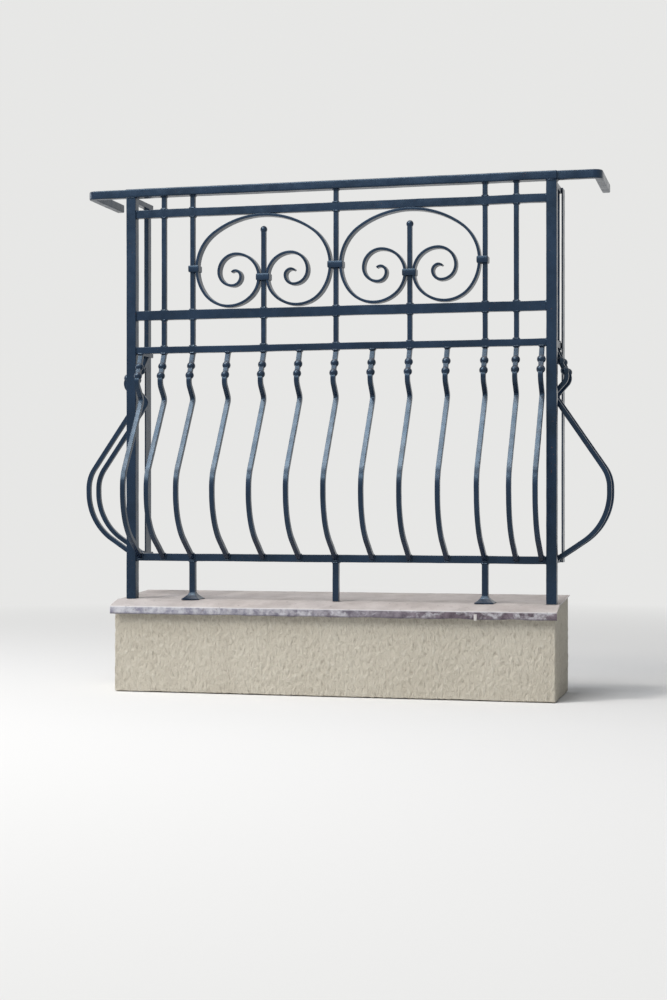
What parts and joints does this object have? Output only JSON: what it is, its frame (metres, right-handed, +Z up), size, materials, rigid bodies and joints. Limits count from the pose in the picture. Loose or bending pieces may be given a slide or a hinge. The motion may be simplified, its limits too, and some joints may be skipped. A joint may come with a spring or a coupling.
{
  "type": "balcony",
  "caption": "Shallow house balcony: a stuccoed ledge with a sheet metal cover and a black wrought iron railing of bellied balusters, knops and scrolls.",
  "frame": {"origin": "centre of the ledge's back face, which lies on the wall", "axes": "+X to the right along the wall as seen from the street, -Y away from the wall, +Z up"},
  "size_m": [1.592, 0.412, 1.504],
  "materials": {
    "stucco": "rough-cast, matte",
    "cover": "weathered, matte",
    "iron": "satin"
  },
  "bodies": {
    "root": {"ledge": "stucco", "ledge_cover": "cover", "corner_post_left": "iron", "corner_post_right": "iron", "wall_post_left": "iron", "wall_post_right": "iron", "handrail_front": "iron", "handrail_return_left": "iron", "handrail_return_right": "iron", "upper_rail": "iron", "middle_rail": "iron", "belly_rail": "iron", "bottom_rail": "iron", "side_rails_left": "iron", "side_rails_right": "iron", "baluster_01": "iron", "baluster_02": "iron", "baluster_03": "iron", "baluster_04": "iron", "baluster_05": "iron", "baluster_06": "iron", "baluster_07": "iron", "baluster_08": "iron", "baluster_09": "iron", "baluster_10": "iron", "baluster_11": "iron", "baluster_12": "iron", "baluster_13": "iron", "side_baluster_left_front": "iron", "side_baluster_left_back": "iron", "side_baluster_right_front": "iron", "side_baluster_right_back": "iron", "scroll_left": "iron", "scroll_right": "iron", "spike_collars": "iron", "upright_collars": "iron", "foot_left": "iron", "foot_middle": "iron", "foot_right": "iron"}
  },
  "joints": []
}
